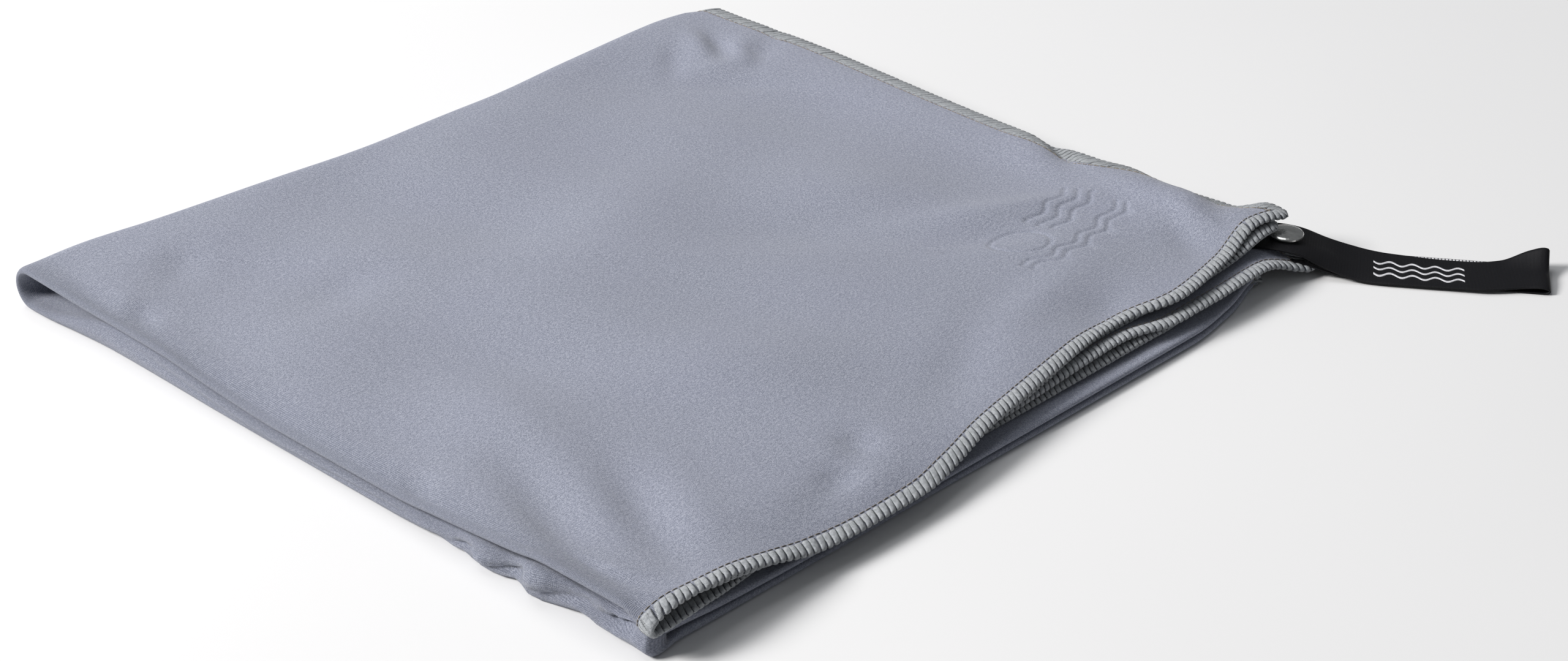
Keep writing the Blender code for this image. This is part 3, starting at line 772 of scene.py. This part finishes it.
def smooth_route(points, spacing):
    """Points at an even spacing along a Catmull-Rom line through the given ones."""
    points = np.array(points, float) * MM
    padded = np.concatenate([[2 * points[0] - points[1]], points, [2 * points[-1] - points[-2]]])
    fine = []
    for p0, p1, p2, p3 in zip(padded, padded[1:], padded[2:], padded[3:]):
        for t in np.linspace(0, 1, 24, endpoint=False):
            square = (2 * p0 - 5 * p1 + 4 * p2 - p3) * t * t
            cube = (3 * p1 - p0 - 3 * p2 + p3) * t ** 3
            fine.append(0.5 * (2 * p1 + (p2 - p0) * t + square + cube))
    fine = np.array(fine + [points[-1]])
    run = np.concatenate([[0], np.cumsum(np.linalg.norm(np.diff(fine, axis=0), axis=1))])
    marks = np.linspace(0, run[-1], round(run[-1] / spacing) + 1)
    return np.stack([np.interp(marks, run, fine[:, k]) for k in range(fine.shape[1])], -1), marks


RIBBON_ROUTE, RIBBON_RUN = smooth_route(RIBBON_LINE, 0.6 * MM)
RIBBON_LENGTH = RIBBON_RUN[-1]
FAR_END_RUN = RIBBON_RUN[int(np.argmax(RIBBON_ROUTE[:, 0]))]


def ribbon_place(run, across):
    """Points of the ribbon's middle: run from its root, and across it, positive to the far edge."""
    out, height = (np.interp(run, RIBBON_RUN, RIBBON_ROUTE[:, k]) for k in (0, 1))
    share = across / (RIBBON_WIDTH / 2)
    rise = np.where(share > 0, FAR_EDGE_RISE(run), NEAR_EDGE_RISE(run)) * share ** 2
    past_end = run - FAR_END_RUN
    lean = LEAN * smooth_step(6 * MM, 24 * MM, past_end)
    lean = lean * (1 - 0.7 * smooth_step(52 * MM, 80 * MM, past_end))
    points = STRAP_END + np.outer(out, STRAP_ALONG) + np.outer(across + lean, STRAP_ACROSS)
    points[:, 2] = np.maximum(height + rise, RIBBON_THICK / 2 + 0.05 * MM)
    return points


def ribbon_normal(run, across):
    step = 0.4 * MM
    ahead = ribbon_place(np.minimum(run + step, RIBBON_LENGTH), across)
    behind = ribbon_place(np.maximum(run - step, 0), across)
    far, near = ribbon_place(run, across + step), ribbon_place(run, across - step)
    return unit(np.cross(ahead - behind, far - near))


def make_ribbon(material):
    """The whole ribbon as one closed strip."""
    grid = np.linspace(0, RIBBON_LENGTH, 300), np.linspace(-RIBBON_WIDTH / 2, RIBBON_WIDTH / 2, 25)
    run, across = (places.ravel() for places in np.meshgrid(*grid))
    points, half = ribbon_place(run, across), ribbon_normal(run, across) * RIBBON_THICK / 2
    faces = shell_faces(*map(len, grid), flipped=True)
    ribbon = make_mesh("strap_ribbon", np.concatenate([points + half, points - half]), faces, material)
    set_sheet(ribbon, np.tile(np.stack([run, across, np.zeros_like(run)], -1), (2, 1)))
    blend_strap(ribbon, np.tile(np.clip(0.5 + (run - FAR_END_RUN) / FAR_TURN, 0, 1), 2))
    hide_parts("strap_fixed_leg", "strap_free_leg")
    return ribbon


MOTIF_LENGTH = 30 * MM
MOTIF_MIDDLE = FAR_END_RUN + 43 * MM
WAVE_ROWS = (-4.6, -0.6, 3.4)
WAVE_LENGTH, WAVE_SWING, WAVE_HALF_WIDTH = 7.5 * MM, 1.1 * MM, 0.6 * MM
WAVE_LIFTS = (0.03, 0.09, 0.03)
WAVE_THICK = 0.12 * MM


def make_ribbon_motif(material):
    """Three woven waves on the free leg's outer face, each with a five-sided section."""
    pieces = []
    run = MOTIF_MIDDLE + np.linspace(-MOTIF_LENGTH / 2, MOTIF_LENGTH / 2, 120)
    swing = WAVE_SWING * np.sin((run - MOTIF_MIDDLE) * 2 * math.pi / WAVE_LENGTH)
    wide = len(run)
    for number, row in enumerate(WAVE_ROWS):
        lines = []
        for side, lift in zip((-1, 0, 1), WAVE_LIFTS):
            across = row * MM + swing + side * WAVE_HALF_WIDTH
            normal = -ribbon_normal(run, across)
            lines.append(ribbon_place(run, across) + normal * (RIBBON_THICK / 2 + lift * MM))
        section = [*lines, lines[2] - normal * WAVE_THICK, lines[0] - normal * WAVE_THICK]
        faces = [tuple(k * wide for k in range(5)), tuple(k * wide + wide - 1 for k in reversed(range(5)))]
        for k in range(5):
            p, q = k * wide, (k + 1) % 5 * wide
            faces += [(p + i, p + i + 1, q + i + 1, q + i) for i in range(wide - 1)]
        obj = make_mesh(f"strap_wave_{number + 1}", np.concatenate(section), faces, material)
        blend_strap(obj, np.ones(5 * wide))
        pieces.append(obj)
    return pieces


THREAD_SIDES = 6


def ribbon_threads(name, paths, half_width, half_height, material):
    """Short flattened threads of the upper half, from the middle and the normal along each one."""
    angles = np.arange(THREAD_SIDES)[:, None] * 2 * math.pi / THREAD_SIDES
    wide, high = STRAP_ACROSS * np.cos(angles) * half_width, np.sin(angles) * half_height
    points = [middle[:, None] + wide + normal[:, None] * high for middle, normal in paths]
    faces = tube_faces(len(paths), len(paths[0][0]), THREAD_SIDES)
    obj = make_mesh(name, np.concatenate(points).reshape(-1, 3), faces, material)
    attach(obj, "upper_half")
    return obj


def make_ribbon_floats(material):
    """The white weft floats on the back of the waves, seen on the lower leg's far edge."""
    count, float_length, across = 26, 0.9 * MM, np.full(4, 9.3 * MM)
    first = FAR_END_RUN - 34 * MM - MOTIF_LENGTH / 2
    paths = []
    for number in range(count):
        run = first + MOTIF_LENGTH * number / count + np.linspace(0, float_length, len(across))
        normal = ribbon_normal(run, across)
        paths.append((ribbon_place(run, across) + normal * RIBBON_THICK / 2, normal))
    return ribbon_threads("strap_wave_floats", paths, 0.5 * MM, 0.1 * MM, material)


def make_bar_tack(material):
    """Zigzag of thread that holds the ribbon's root under layer 3."""
    rows, half_span, lean = 17, 7.6 * MM, 0.45 * MM
    along = np.linspace(-1, 1, 7)
    run = np.linspace(1.6 * MM, 3.8 * MM, len(along))
    depth = RIBBON_THICK / 2 + 0.02 * MM + 0.22 * MM * np.cos(along * math.pi / 2)[:, None]
    paths = []
    for row in range(rows):
        across = half_span * (2 * row / (rows - 1) - 1) + lean * along * (1 if row % 2 else -1)
        normal = ribbon_normal(run, across)
        paths.append((ribbon_place(run, across) - normal * depth, normal))
    tack = ribbon_threads("strap_bar_tack_stitches", paths, 0.34 * MM, 0.2 * MM, material)
    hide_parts("strap_bar_tack")
    return tack


# ---------------------------------------------------------------- materials
class Nodes:
    """Short calls for building one material's node tree."""

    def __init__(self, name):
        self.material = bpy.data.materials.new(name)
        self.material.use_nodes = True
        self.tree = self.material.node_tree
        self.shader = self.tree.nodes["Principled BSDF"]

    def add(self, kind, inputs=None, **settings):
        node = self.tree.nodes.new(kind)
        for key, value in settings.items():
            setattr(node, key, value)
        for key, value in (inputs or {}).items():
            self.set(node.inputs[key], value)
        return node

    def set(self, socket, value):
        if isinstance(value, bpy.types.NodeSocket):
            self.tree.links.new(value, socket)
        else:
            socket.default_value = value

    def math(self, operation, a, b=0.0, c=0.0):
        return self.add("ShaderNodeMath", {0: a, 1: b, 2: c}, operation=operation).outputs[0]

    def mix(self, share, a, b):
        """Colour a turning into colour b. A colour may be a socket or plain red, green and blue."""
        a, b = (color if isinstance(color, bpy.types.NodeSocket) else (*color, 1) for color in (a, b))
        return self.add("ShaderNodeMix", {0: share, 6: a, 7: b}, data_type="RGBA").outputs[2]

    def noise(self, vector, scale, detail=2.0):
        inputs = {"Vector": vector, "Scale": scale, "Detail": detail}
        return self.add("ShaderNodeTexNoise", inputs).outputs[0]

    def ramp(self, value, low, high, to_low=0.0, to_high=1.0):
        inputs = {0: value, 1: low, 2: high, 3: to_low, 4: to_high}
        return self.add("ShaderNodeMapRange", inputs).outputs[0]

    def place(self):
        return self.add("ShaderNodeTexCoord").outputs["Object"]

    def sheet(self):
        """The flat place stored on the mesh, and its three parts."""
        vector = self.add("ShaderNodeAttribute", attribute_name="sheet").outputs["Vector"]
        split = self.add("ShaderNodeSeparateXYZ", {0: vector}).outputs
        return vector, split[0], split[1], split[2]

    def bump(self, height, distance, strength=1.0):
        inputs = {"Height": height, "Distance": distance, "Strength": strength}
        self.finish(Normal=self.add("ShaderNodeBump", inputs).outputs[0])

    def finish(self, **values):
        """Sets the shader's inputs and returns the material."""
        for key, value in values.items():
            self.set(self.shader.inputs[key.replace("_", " ")], value)
        return self.material


def ridge(nodes, coordinate, pitch, phase=0.0):
    """Rows of rounded ribs, 0 in the grooves and 1 on the crests."""
    turned = nodes.math("MULTIPLY_ADD", coordinate, 2 * math.pi / pitch, phase)
    return nodes.math("MULTIPLY_ADD", nodes.math("SINE", turned), 0.5, 0.5)


RIB_PITCH, LOOP_PITCH = 0.58 * MM, 0.50 * MM


def cloth_material():
    """Blue-grey microfibre knit: fine ribs along the length, small loops, speckle and soft mottling, with painted
    shade in the knit's grooves, along the side fold and at the overlocked hem.
    """
    n = Nodes("towel_cloth")
    vector, u, v, edge = n.sheet()
    rib = ridge(n, u, RIB_PITCH)
    loops = ridge(n, v, LOOP_PITCH, n.math("MULTIPLY", rib, 1.6))
    knit = n.math("ADD", n.math("MULTIPLY", rib, 0.6), n.math("MULTIPLY", loops, 0.4))
    speckle = n.noise(vector, 3600.0, 1.0)
    fuzz = n.noise(vector, 1100.0, 2.0)
    mottle = n.noise(vector, 28.0, 3.0)
    base = n.mix(n.ramp(speckle, 0.36, 0.64), (0.138, 0.153, 0.198), (0.400, 0.418, 0.500))
    from_fold = n.math("ABSOLUTE", n.math("SUBTRACT", u, WIDTH / 2))
    bent = n.ramp(from_fold, 5 * MM, 20 * MM, 0.85, 0.12)
    # Painted shade: the knit's grooves are coloured darker, most strongly near the side fold where the knit is
    # stretched.
    painted_groove_shade = n.math("MULTIPLY", n.ramp(knit, 0.0, 0.55, 1.0, 0.0), bent)
    base = n.mix(painted_groove_shade, base, (0.075, 0.086, 0.115))
    base = n.mix(n.ramp(mottle, 0.35, 0.7, 0.0, 0.16), base, (0.255, 0.265, 0.350))
    base = n.mix(n.ramp(fuzz, 0.52, 0.68, 0.0, 0.40), base, (0.430, 0.445, 0.510))
    base = n.mix(n.ramp(fuzz, 0.32, 0.48, 0.40, 0.0), base, (0.135, 0.148, 0.190))
    # Painted shade: the cloth is coloured darker within 15 mm of the side fold.
    base = n.mix(n.ramp(from_fold, 4 * MM, 15 * MM, 0.24, 0.0), base, (0.085, 0.098, 0.125))
    # Painted shade: the cloth is coloured near-black towards the sheet's edge, as the shadow under and between the
    # overlock stitches.
    painted_hem_shade = n.ramp(edge, 1.5 * MM, 4.4 * MM, 0.6, 0.0)
    base = n.mix(painted_hem_shade, base, (0.045, 0.050, 0.056))
    loop_height = n.math("MULTIPLY", knit, n.math("MULTIPLY", bent, 0.8))
    n.bump(n.math("ADD", loop_height, n.math("MULTIPLY", speckle, 0.6)), 0.20 * MM)
    return n.finish(
        Base_Color=base, Roughness=0.92, Sheen_Weight=0.22, Sheen_Roughness=0.45, Specular_IOR_Level=0.22)


def thread_material():
    """Bulked overlock thread: grey, with fine plies and fuzz, painted shade between the plies, and stitches that
    differ a little.
    """
    n = Nodes("overlock_thread")
    vector, run, along, chance = n.sheet()
    ply = ridge(n, n.math("MULTIPLY_ADD", along, 0.55, run), 0.34 * MM)
    fuzz = n.noise(vector, 1300.0, 3.0)
    base = n.mix(n.ramp(fuzz, 0.3, 0.7), (0.225, 0.240, 0.256), (0.435, 0.452, 0.475))
    # Painted shade: the hollows between the plies are coloured darker.
    base = n.mix(n.ramp(ply, 0.0, 0.6, 0.25, 0.0), base, (0.150, 0.170, 0.178))
    base = n.mix(n.ramp(chance, 0.0, 1.0, 0.0, 0.12), base, (0.430, 0.450, 0.445))
    n.bump(n.math("ADD", n.math("MULTIPLY", ply, 0.6), fuzz), 0.14 * MM)
    return n.finish(
        Base_Color=base, Roughness=0.88, Sheen_Weight=0.25, Sheen_Roughness=0.5, Specular_IOR_Level=0.25)


def needle_material():
    """Brown-grey thread of the needle line."""
    n = Nodes("needle_thread")
    fuzz = n.noise(n.place(), 900.0, 2.0)
    base = n.mix(n.ramp(fuzz, 0.3, 0.7), (0.150, 0.128, 0.105), (0.360, 0.325, 0.280))
    return n.finish(Base_Color=base, Roughness=0.8, Specular_IOR_Level=0.3)


def ribbon_material():
    """Black satin ribbon with very fine weft and warp lines, painted shade in the weave's hollows and a little
    dust.
    """
    n = Nodes("strap_ribbon")
    vector, run, across, _ = n.sheet()
    weft = ridge(n, run, 0.36 * MM)
    warp = ridge(n, across, 0.30 * MM)
    weave = n.math("ADD", n.math("MULTIPLY", weft, 0.7), n.math("MULTIPLY", warp, 0.3))
    dust = n.noise(vector, 700.0, 4.0)
    # Painted shade: the weave's hollows are coloured darker than its crests.
    base = n.mix(n.ramp(weave, 0.0, 1.0), (0.0022, 0.0022, 0.003), (0.0075, 0.0075, 0.010))
    base = n.mix(n.ramp(dust, 0.74, 0.80, 0.0, 0.25), base, (0.12, 0.12, 0.13))
    n.bump(weave, 0.05 * MM)
    roughness = n.ramp(weave, 0.0, 1.0, 0.62, 0.46)
    return n.finish(Base_Color=base, Roughness=roughness, Specular_IOR_Level=0.22)


def woven_mark_material():
    """White thread of the woven waves."""
    n = Nodes("strap_mark")
    fuzz = n.noise(n.place(), 1800.0, 2.0)
    base = n.mix(n.ramp(fuzz, 0.3, 0.7), (0.52, 0.52, 0.55), (0.80, 0.80, 0.82))
    return n.finish(Base_Color=base, Roughness=0.7, Specular_IOR_Level=0.3)


def metal_material():
    """Nickel plate with faint smears and a very fine grain."""
    n = Nodes("snap_metal")
    coordinates = n.place()
    smear = n.noise(coordinates, 300.0, 4.0)
    fine = n.noise(coordinates, 2600.0, 2.0)
    base = n.mix(n.ramp(smear, 0.3, 0.7), (0.60, 0.60, 0.58), (0.78, 0.78, 0.76))
    n.bump(fine, 0.01 * MM, 0.5)
    return n.finish(Base_Color=base, Roughness=n.ramp(smear, 0.3, 0.75, 0.16, 0.34), Metallic=1.0)


def floor_material():
    n = Nodes("pale_floor")
    tone = n.noise(n.place(), 3.0, 2.0)
    base = n.mix(n.ramp(tone, 0.3, 0.7), (0.79, 0.79, 0.79), (0.81, 0.81, 0.81))
    return n.finish(Base_Color=base, Roughness=0.9, Specular_IOR_Level=0.1)


# ---------------------------------------------------------------- stage
CAMERA_PLACE = (-0.60275, -0.63166, 0.46189)
CAMERA_AZIMUTH = math.radians(-46.2)
CAMERA_ELEVATION = math.radians(28.56)
CAMERA_LENS = 68.75
FLOOR_REACH = 8.0


def make_camera():
    data = bpy.data.cameras.new("camera")
    data.sensor_width = 36.0
    data.lens = CAMERA_LENS
    camera = bpy.data.objects.new("camera", data)
    camera.location = CAMERA_PLACE
    camera.rotation_euler = (math.pi / 2 - CAMERA_ELEVATION, 0, CAMERA_AZIMUTH)
    bpy.context.scene.collection.objects.link(camera)
    bpy.context.scene.camera = camera


def make_area_light(name, place, size, power, color):
    """A square light that faces the packet's middle."""
    data = bpy.data.lights.new(name, "AREA")
    data.size = size
    data.energy = power
    data.color = color
    light = bpy.data.objects.new(name, data)
    light.location = place
    dx, dy, dz = -np.array(place)
    light.rotation_euler = (math.atan2(math.hypot(dx, dy), -dz), 0, math.atan2(dy, dx) - math.pi / 2)
    bpy.context.scene.collection.objects.link(light)


def make_stage():
    scene = bpy.context.scene
    scene.view_settings.view_transform = "Standard"
    world = bpy.data.worlds.new("studio")
    world.use_nodes = True
    background = world.node_tree.nodes["Background"]
    background.inputs[0].default_value = (0.93, 0.96, 1.0, 1.0)
    background.inputs[1].default_value = 0.16
    scene.world = world
    make_area_light("key", (-2.0, 1.45, 1.75), 1.0, 128.0, (1.0, 0.985, 0.975))
    make_area_light("top", (0.1, 0.7, 1.5), 1.2, 9.0, (0.97, 0.98, 1.0))
    corners = [(FLOOR_REACH * x, FLOOR_REACH * y, 0) for x, y in ((-1, -1), (1, -1), (1, 1), (-1, 1))]
    make_mesh("floor", corners, [(0, 1, 2, 3)], floor_material())


# ---------------------------------------------------------------- the build
def polish_snap():
    metal = metal_material()
    for name in ("snap_post", "snap_stud", "snap_socket", "snap_spring", "snap_cap"):
        node = frame["nodes"][name]
        node.data.materials.clear()
        node.data.materials.append(metal)


make_camera()
make_stage()
towel = make_towel(cloth_material())
overlock = make_overlock(thread_material())
needle_line = make_needle_line(needle_material())
ribbon = make_ribbon(ribbon_material())
mark_thread = woven_mark_material()
motif = make_ribbon_motif(mark_thread)
floats = make_ribbon_floats(mark_thread)
bar_tack = make_bar_tack(ribbon_material())
polish_snap()
